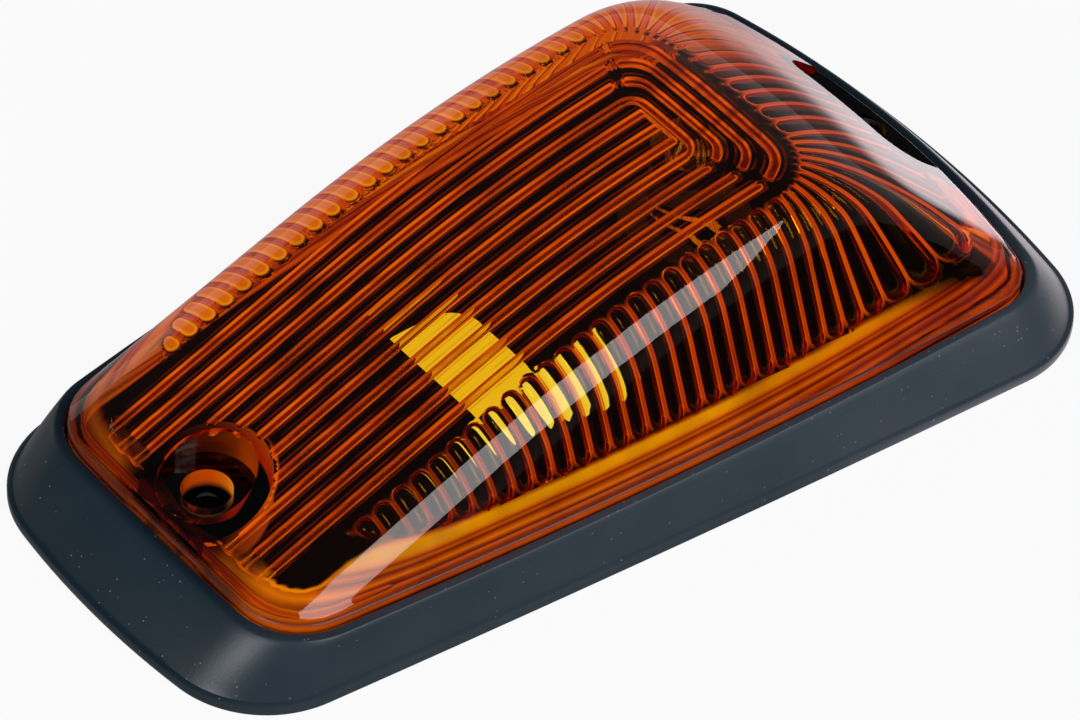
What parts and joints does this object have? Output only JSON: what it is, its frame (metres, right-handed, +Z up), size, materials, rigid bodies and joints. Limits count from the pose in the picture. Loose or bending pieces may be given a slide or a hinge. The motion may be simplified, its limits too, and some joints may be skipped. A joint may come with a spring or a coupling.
{
  "type": "roof marker light",
  "caption": "Wedge-shaped amber roof marker light: a ribbed and fluted moulded lens screwed down on a black rubber pad, with a wedge bulb in a holder under the lens.",
  "frame": {"origin": "middle of the pad's underside, where it rests on the roof", "axes": "+Z up from the roof, +Y from the narrow low front end to the wide tall rear end, X across, mirror plane x = 0"},
  "size_m": [0.0824, 0.1386, 0.0336],
  "materials": {
    "lens": "clear amber, polished",
    "base_pad": "satin",
    "bulb_holder": "moulded",
    "contact_strips": "rolled strip",
    "bulb": "clear"
  },
  "bodies": {
    "root": {"lens": "lens", "base_pad": "base_pad", "bulb_holder": "bulb_holder", "contact_strips": "contact_strips", "bulb": "bulb"}
  },
  "joints": []
}
